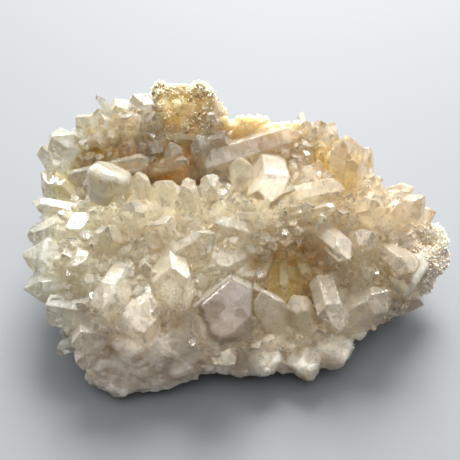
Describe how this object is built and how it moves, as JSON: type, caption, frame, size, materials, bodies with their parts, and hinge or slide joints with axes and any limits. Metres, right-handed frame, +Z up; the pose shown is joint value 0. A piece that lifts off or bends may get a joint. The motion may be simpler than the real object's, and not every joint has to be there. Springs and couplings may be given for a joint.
{
  "type": "quartz cluster",
  "caption": "Natural cluster of six-sided quartz crystals on a broken base of massive quartz that rests on a flat underside.",
  "frame": {"origin": "middle of the flat underside that the cluster rests on", "axes": "+X along the longest extent, towards the pointed end; -Y towards the broken front; +Z up, away from the underside"},
  "size_m": [0.1352, 0.0897, 0.0532],
  "materials": {
    "massive_quartz": "broken, glassy to waxy, cream with amber iron stain in the hollows",
    "clear_quartz": "polished natural crystal faces, clear, index of refraction 1.544",
    "milky_quartz": "natural crystal faces, cloudy, translucent"
  },
  "bodies": {
    "root": {"quartz_cluster": "massive_quartz"}
  },
  "joints": []
}
